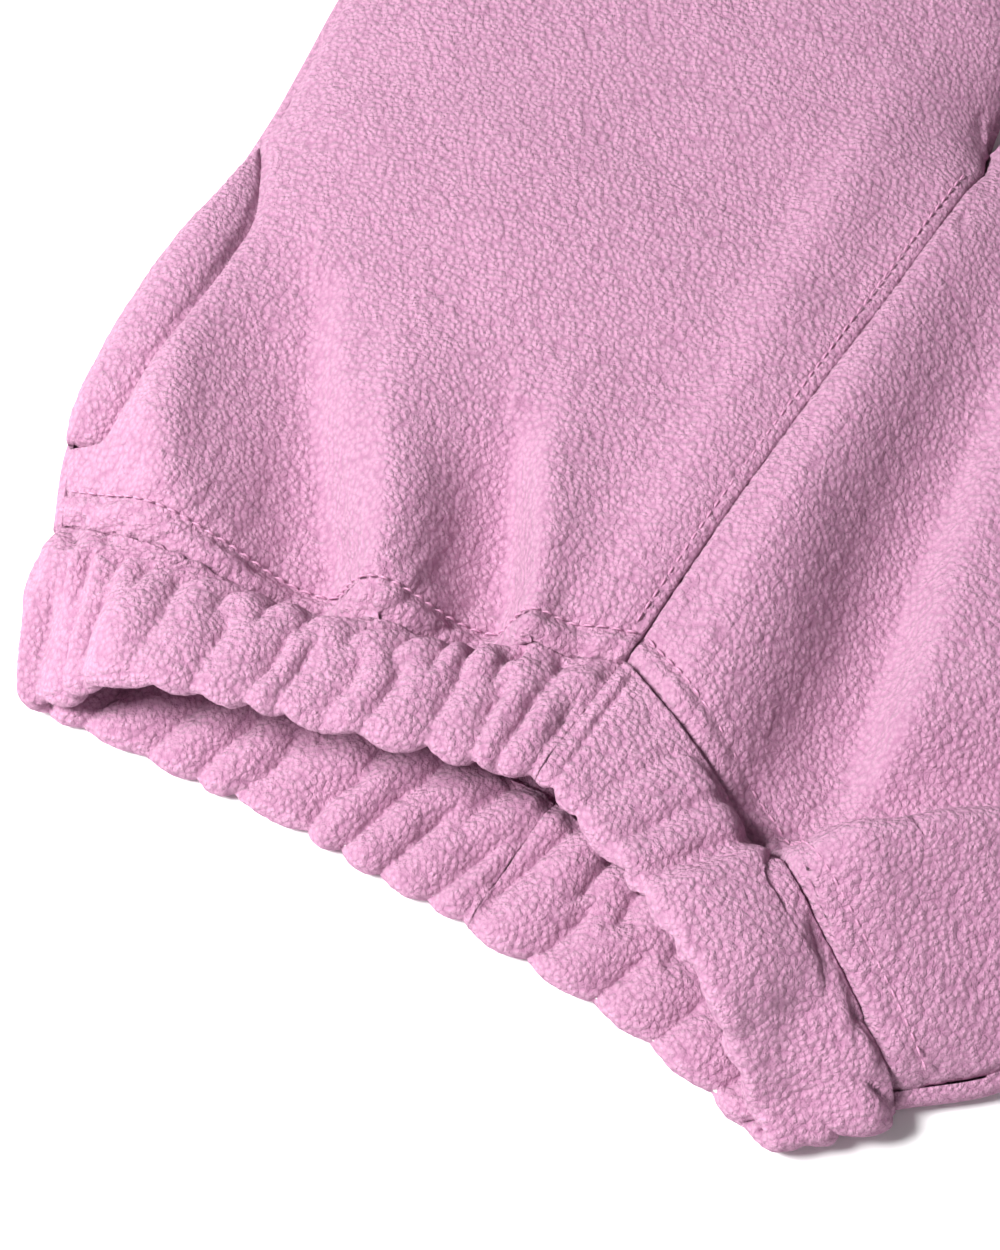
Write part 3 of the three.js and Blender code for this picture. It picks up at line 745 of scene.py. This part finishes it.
def makePouch(side):
    # the knitted bag of the pocket, a flat pouch inside the leg
    shape = pouchShape
    low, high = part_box("pocket_pouch_" + side)
    ats = np.linspace(shape["from"], shape["to"], shape["rows"])
    around = np.linspace(0, 1, shape["columns"])
    taper, taperPower = shape["taper"]
    closing, closingPower = shape["closing"]
    # half the sum of the box's two heights, in millimetres
    middleZ = (low[2] + high[2]) * 500
    grid = np.zeros((len(ats), len(around), 3))
    for j, at in enumerate(ats):
        row = garmentRow(side, at)
        seam = alongRow(row, np.array([sideSeam(row)]))[0]
        centre = alongRow(row, np.array([0.0]))[0]
        inward = (centre - seam)[:2]
        inward /= np.linalg.norm(inward)
        end = abs(2 * (at - shape["from"]) / (shape["to"] - shape["from"]) - 1)
        width = shape["reach"] * (1 - taper * end ** taperPower)
        # there and back: the lower layer out, a round turn, and the upper layer home
        t = np.where(around < 0.5, around * 2, 2 - around * 2)
        height = shape["thick"] * np.sin(math.pi * np.clip(1 - t, 0, 1) ** shape["crown"] / 2)
        plump = height * (1 - closing * end ** closingPower)
        grid[j, :, 0] = seam[0] + inward[0] * (shape["fromSeam"] + t * width)
        grid[j, :, 1] = seam[1] + inward[1] * (shape["fromSeam"] + t * width)
        grid[j, :, 2] = middleZ + np.where(around < 0.5, -plump, plump)
    return turnOver(grid, halves[side]["out"])


stitches = {"length": 2.9, "pitch": 3.5, "first": 0.5, "thick": 0.62, "sink": 0.15, "dive": (0.7, 4),
            "taper": (0.25, 1, 1.08, 1, 0.25), "sides": 6}


def makeStitches(paths):
    # each path is points and outward normals; a stitch is a short six-sided tube that dives in at its ends
    shape = stitches
    rings, sides = len(shape["taper"]), shape["sides"]
    depth, power = shape["dive"]
    vertices = []
    for points, normals in paths:
        lengths = np.concatenate([[0], np.cumsum(np.linalg.norm(np.diff(points, axis=0), axis=1))])
        starts = np.arange(shape["first"], lengths[-1] - shape["length"], shape["pitch"])
        for start in starts:
            t = start + np.linspace(0, shape["length"], rings)
            middle = np.stack([np.interp(t, lengths, points[:, k]) for k in range(3)], 1)
            normal = np.stack([np.interp(t, lengths, normals[:, k]) for k in range(3)], 1)
            normal = unit(normal)
            across = unit(np.cross(normal, np.gradient(middle, axis=0)))
            dive = (np.linspace(-1, 1, rings) ** power)[:, None] * depth
            size = shape["thick"] / 2 * np.array(shape["taper"])[:, None]
            middle = middle + normal * (shape["sink"] - dive)
            for ring in range(rings):
                turn = np.arange(sides) / sides * 2 * math.pi
                vertices.append(middle[ring] + size[ring] * (np.cos(turn)[:, None] * across[ring]
                                                             + np.sin(turn)[:, None] * normal[ring]))
    points = np.concatenate(vertices)
    count = len(points) // (rings * sides)
    faces = []
    for k in range(count):
        base = k * rings * sides
        for ring in range(rings - 1):
            for n in range(sides):
                a = base + ring * sides + n
                b = base + ring * sides + (n + 1) % sides
                faces.append((a, b, b + sides, a + sides))
        faces.append(tuple(base + n for n in range(sides))[::-1])
        faces.append(tuple(base + (rings - 1) * sides + n for n in range(sides)))
    return points, faces


def makeThread(name, paths):
    points, faces = makeStitches(paths)
    mesh = bpy.data.meshes.new(name)
    mesh.from_pydata(((points + np.array([originX, originY, 0.0])) / 1000).tolist(), [], faces)
    mesh.update()
    piece = bpy.data.objects.new(name, mesh)
    bpy.context.collection.objects.link(piece)
    onlySelect(piece)
    bpy.ops.object.mode_set(mode="EDIT")
    bpy.ops.mesh.select_all(action="SELECT")
    bpy.ops.mesh.normals_make_consistent(inside=False)
    bpy.ops.object.mode_set(mode="OBJECT")
    bpy.ops.object.shade_smooth()
    return piece


# how far to either side a path looks for the slope of the cloth
pathSpread = 0.6


def pathAcross(side, at, fromLength, toLength, lift, count=160):
    # a run of points across one half at one distance from the waistband seam, with the normals there;
    # a lift below 0 puts them on the inner face
    lengths = np.linspace(fromLength, toLength, count)
    rows = np.stack([alongRow(garmentRow(side, at + step), lengths) for step in (-pathSpread, 0, pathSpread)])
    normals = gridNormals(rows)[1] * halves[side]["out"] * (1 if lift >= 0 else -1)
    raised = flushLift(side, at, lengths) if lift >= 0 else 0.0
    return rows[1] + normals * (abs(lift) + np.zeros(count) + raised)[:, None], normals


def pathAlong(side, length, ats, lift):
    # the same down the leg, at one length from the front's centre seam or, below 0, from the back's
    rows = []
    for at in ats:
        row = garmentRow(side, at)
        middle = length if length > 0 else row["whole"] + length
        rows.append(alongRow(row, np.array([middle - pathSpread, middle, middle + pathSpread])))
    rows = np.stack(rows)
    normals = gridNormals(rows)[:, 1] * halves[side]["out"] * (1 if lift >= 0 else -1)
    return rows[:, 1] + normals * abs(lift), normals


class Wire:
    # a node's output socket that can be used in sums; each sum adds a Math node
    def __init__(self, tree, socket):
        self.tree = tree
        self.socket = socket

    def math(self, operation, first, second):
        made = self.tree.nodes.new("ShaderNodeMath")
        made.operation = operation
        for place, value in enumerate((first, second)):
            if isinstance(value, Wire):
                self.tree.links.new(value.socket, made.inputs[place])
            else:
                made.inputs[place].default_value = value
        return Wire(self.tree, made.outputs[0])

    def __add__(self, other):
        return self.math("ADD", self, other)

    def __radd__(self, other):
        return self.math("ADD", other, self)

    def __sub__(self, other):
        return self.math("SUBTRACT", self, other)

    def __rsub__(self, other):
        return self.math("SUBTRACT", other, self)

    def __mul__(self, other):
        return self.math("MULTIPLY", self, other)

    def __rmul__(self, other):
        return self.math("MULTIPLY", other, self)


class Finish:
    # one material and its node tree
    def __init__(self, name):
        self.material = bpy.data.materials.new(name)
        self.material.use_nodes = True
        self.tree = self.material.node_tree
        self.shader = self.tree.nodes["Principled BSDF"]

    def node(self, kind, settings, inputs, output=0):
        made = self.tree.nodes.new("ShaderNode" + kind)
        for key, value in settings.items():
            if key == "stops":
                ramp = made.color_ramp
                while len(ramp.elements) < len(value):
                    ramp.elements.new(0.5)
                for element, (place, colour) in zip(ramp.elements, value):
                    element.position = place
                    element.color = colour
            else:
                setattr(made, key, value)
        for key, value in inputs.items():
            self.put(made.inputs[key], value)
        return Wire(self.tree, made.outputs[output])

    def put(self, socket, value):
        if isinstance(value, Wire):
            self.tree.links.new(value.socket, socket)
        else:
            socket.default_value = value

    def set(self, **values):
        for key, value in values.items():
            self.put(self.shader.inputs[key.replace("_", " ")], value)


def colour(red, green, blue):
    return (red, green, blue, 1.0)


# the pile: its colours between the clumps (painted shade) and on them (painted highlight), and the sizes and
# weights of its noises
fleeceLook = {
    "gap": colour(0.50, 0.225, 0.375), "paintedTipHighlight": colour(0.665, 0.345, 0.515), "stops": (0.05, 0.75),
    "clumps": 700.0, "clumpWeight": 1.15, "fibres": 2600.0, "fibreWeight": 0.9, "patches": 38.0,
    "patchWeight": 0.22, "stray": 520.0, "wander": 0.0003, "bump": 1.0, "bumpDepth": 0.0011,
    "roughness": 0.92, "sheen": 0.22, "sheenRoughness": 0.45, "sheenTint": colour(1.0, 0.84, 0.94),
    "gloss": 0.12,
}


def fleeceFinish(name, look):
    finish = Finish(name)
    place = finish.node("TexCoord", {}, {}, "Object")
    stray = finish.node("TexNoise", {}, {"Vector": place, "Scale": look["stray"], "Detail": 2.0}, "Color")
    wander = finish.node("VectorMath", {"operation": "MULTIPLY_ADD"},
                         {0: stray, 1: (look["wander"],) * 3, 2: place})
    clump = finish.node("TexVoronoi", {"feature": "F1"}, {"Vector": wander, "Scale": look["clumps"]},
                        "Distance")
    fibre = finish.node("TexNoise", {}, {"Vector": place, "Scale": look["fibres"], "Detail": 3.0,
                                         "Roughness": 0.6}, "Fac")
    patch = finish.node("TexNoise", {}, {"Vector": place, "Scale": look["patches"], "Detail": 2.0}, "Fac")
    pile = 1.0 - clump * look["clumpWeight"] + (fibre - 0.5) * look["fibreWeight"]
    # the colour follows the pile's height: painted shade low between the clumps and a painted highlight on
    # their tops; the patches add random tone
    shade = finish.node("ValToRGB", {"stops": list(zip(look["stops"], (look["gap"], look["paintedTipHighlight"])))},
                        {"Fac": pile + (patch - 0.5) * look["patchWeight"]}, "Color")
    bump = finish.node("Bump", {}, {"Strength": look["bump"], "Distance": look["bumpDepth"], "Height": pile},
                       "Normal")
    finish.set(Base_Color=shade, Normal=bump, Roughness=look["roughness"], Sheen_Weight=look["sheen"],
               Sheen_Roughness=look["sheenRoughness"], Sheen_Tint=look["sheenTint"],
               Specular_IOR_Level=look["gloss"])
    return finish.material


# the plainer finishes: one pattern, the two colours it runs between and how deep it is; where there is a
# bump, the darker colour lies in the pattern's low places as painted shade in the grooves
plainLooks = {
    "pocketKnit": {"pattern": "TexWave", "on": "Object",
                   "sizes": {"Scale": 260.0, "Distortion": 1.5}, "bump": (0.4, 0.0004),
                   "stops": [(0.0, colour(0.42, 0.17, 0.31)), (1.0, colour(0.66, 0.33, 0.50))],
                   "shader": {"Roughness": 0.85, "Sheen_Weight": 0.15}},
    "wovenElastic": {"pattern": "TexWave", "on": "UV", "sizes": {"Scale": 90.0}, "bump": (0.5, 0.0003),
                     "stops": [(0.0, colour(0.62, 0.60, 0.58)), (1.0, colour(0.88, 0.87, 0.85))],
                     "shader": {"Roughness": 0.7}},
    "spunThread": {"pattern": "TexNoise", "on": "Object", "sizes": {"Scale": 3200.0, "Detail": 1.0},
                   "stops": [(0.3, colour(0.40, 0.165, 0.29)), (0.7, colour(0.60, 0.30, 0.45))],
                   "shader": {"Roughness": 0.6, "Sheen_Weight": 0.1}},
}


def plainFinish(name):
    look = plainLooks[name]
    finish = Finish(name)
    place = finish.node("TexCoord", {}, {}, look["on"])
    pattern = finish.node(look["pattern"], {}, {"Vector": place, **look["sizes"]}, "Fac")
    # with a bump the darker colour falls in the low places: painted shade in the knit's and the elastic's
    # grooves; the thread's noise is random tone
    shade = finish.node("ValToRGB", {"stops": look["stops"]}, {"Fac": pattern}, "Color")
    finish.set(Base_Color=shade, **look["shader"])
    if "bump" in look:
        strength, depth = look["bump"]
        inputs = {"Strength": strength, "Distance": depth, "Height": pattern}
        finish.set(Normal=finish.node("Bump", {}, inputs, "Normal"))
    return finish.material


def dress(piece, material):
    piece.data.materials.clear()
    piece.data.materials.append(material)


def finishPiece(piece, node, slot, material):
    dress(piece, material)
    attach(piece, "root")
    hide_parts(node)


fleece = fleeceFinish("brushedFleece", fleeceLook)
knit = plainFinish("pocketKnit")
wovenElastic = plainFinish("wovenElastic")
spun = plainFinish("spunThread")
print("finishes made")

# a half's cloth pieces: maker, node, how held, flat cut size (width, length) in metres, area in square metres
clothPieces = {
    "front": (makeFront, "front_panel", "laid", (0.180, 0.485), 0.073),
    "back": (makeBack, "back_panel", "laid", (0.190, 0.500), 0.076),
    "band": (makeWaistband, "waistband", "gathered", (0.360, 0.080), 0.026),
    "cuff": (makeCuff, "ankle_cuff", "gathered", (0.240, 0.058), 0.0135),
    "facing": (makeFacing, "pocket_facing", "laid", (0.106, 0.038), 0.0029),
    "pouch": (makePouch, "pocket_pouch", "folded", (0.150, 0.092), 0.012),
}

# rows of stitches: where they run, their lift off the cloth's middle and how many points they follow
stitchRows = {
    "ankle": {"up": 6, "ends": 3, "lift": 0.2},
    "waistFront": {"from": 1, "short": 4, "lift": 0.1, "count": 400},
    "waistBack": {"pastEdge": 12, "short": 1, "lift": -1.9, "count": 300},
    "centreFront": {"from": 11, "to": 176, "lift": 0.2, "count": 300},
    "centreBack": {"from": 12, "to": 148, "lift": -1.9, "count": 200},
}

for side in ("left", "right"):
    for name, (make, node, held, flat, area) in clothPieces.items():
        piece = makePiece(name + "_" + side, make(side))
        if name not in ("back", "pouch"):
            raiseNap(piece)
        slot, material = ("pocket_knit", knit) if name == "pouch" else ("fleece", fleece)
        finishPiece(piece, node + "_" + side, slot, material)

    legEnd = garment["legEnd"]
    loop = makeElastic([side], legEnd, legEnd + garment["cuff"], elasticShape["ankleWidth"],
                       elasticShape["ankleColumns"])
    elastic = makePiece("elastic_" + side, loop, ring=True)
    finishPiece(elastic, "ankle_elastic_" + side, "elastic", wovenElastic)

    run = stitchRows["ankle"]
    at = legEnd - run["up"]
    path = pathAcross(side, at, run["ends"], sideSeam(garmentRow(side, at)) - run["ends"], run["lift"])
    thread = makeThread("ankle_stitches_" + side, [path])
    finishPiece(thread, "ankle_topstitch_" + side, "thread", spun)
    print("made the", side, "half")

loop = makeElastic(["left", "right"], 0, -garment["band"], elasticShape["waistWidth"],
                   elasticShape["waistColumns"])
waistElastic = makePiece("elastic_waist", loop, ring=True)
finishPiece(waistElastic, "waist_elastic", "elastic", wovenElastic)

stitchAt = frontPanel["waistStitch"][0]
outerRun, innerRun = stitchRows["waistFront"], stitchRows["waistBack"]
outerPaths, innerPaths = [], []
for side in ("left", "right"):
    row = garmentRow(side, stitchAt)
    outerPaths.append(pathAcross(side, stitchAt, outerRun["from"], sideSeam(row) - outerRun["short"],
                                 outerRun["lift"], outerRun["count"]))
    innerPaths.append(pathAcross(side, stitchAt, row["edge"] + innerRun["pastEdge"],
                                 row["whole"] - innerRun["short"], innerRun["lift"], innerRun["count"]))
thread = makeThread("waist_stitches_front", outerPaths)
finishPiece(thread, "waist_topstitch_front", "thread", spun)
thread = makeThread("waist_stitches_back", innerPaths)
finishPiece(thread, "waist_topstitch_back", "thread", spun)

for name, sign in (("Front", 1), ("Back", -1)):
    run = stitchRows["centre" + name]
    path = pathAlong("left", sign * frontPanel["stitchFromCentre"],
                     np.linspace(run["from"], run["to"], run["count"]), run["lift"])
    thread = makeThread("centre_" + name.lower() + "_stitches", [path])
    finishPiece(thread, "centre_" + name.lower() + "_topstitch", "thread", spun)
print("threads and elastics made")

# floor, lights and camera, placed in millimetres from the middle of the waist seam
stage = {
    "floor": 8.0, "floorZ": -0.0002, "world": 0.19, "aim": (-20, 20, 0),
    "key": {"energy": 40.0, "size": 0.45, "place": (-624, -559, 1073)},
    "fill": {"energy": 2.0, "size": 1.6, "place": (700, -900, 1300)},
    "camera": {"lens": 85, "sensor": 36, "place": (148.13, -281.80, 643.66), "aim": (-38.27, 5.23, 0.0)},
}


def toFrame(x, y, z):
    return Vector(((x + originX) / 1000, (y + originY) / 1000, z / 1000))


def turnTo(thing, place, aim):
    direction = toFrame(*aim) - toFrame(*place)
    thing.rotation_euler = direction.to_track_quat("-Z", "Y").to_euler()


def addFloor():
    bpy.ops.object.select_all(action="DESELECT")
    bpy.ops.mesh.primitive_plane_add(size=stage["floor"], location=(0, 0, stage["floorZ"]))
    floor = bpy.context.active_object
    floor.name = "floor"
    finish = Finish("paleFloor")
    finish.set(Base_Color=colour(0.95, 0.94, 0.945), Roughness=0.9, Specular_IOR_Level=0.1)
    dress(floor, finish.material)


def addLight(name):
    shape = stage[name]
    bpy.ops.object.light_add(type="AREA", location=toFrame(*shape["place"]))
    light = bpy.context.active_object
    light.name = name
    light.data.energy = shape["energy"]
    light.data.size = shape["size"]
    turnTo(light, shape["place"], stage["aim"])


def addCamera():
    shape = stage["camera"]
    data = bpy.data.cameras.new("camera")
    data.lens = shape["lens"]
    data.sensor_width = shape["sensor"]
    camera = bpy.data.objects.new("camera", data)
    bpy.context.collection.objects.link(camera)
    camera.location = toFrame(*shape["place"])
    turnTo(camera, shape["place"], shape["aim"])
    bpy.context.scene.camera = camera


def addWorld():
    world = bpy.data.worlds.new("studio")
    bpy.context.scene.world = world
    world.use_nodes = True
    background = world.node_tree.nodes["Background"]
    background.inputs["Color"].default_value = colour(1, 1, 1)
    background.inputs["Strength"].default_value = stage["world"]


addFloor()
addLight("key")
addLight("fill")
addCamera()
addWorld()
bpy.context.scene.view_settings.view_transform = "Standard"
print("floor, lights and camera set")
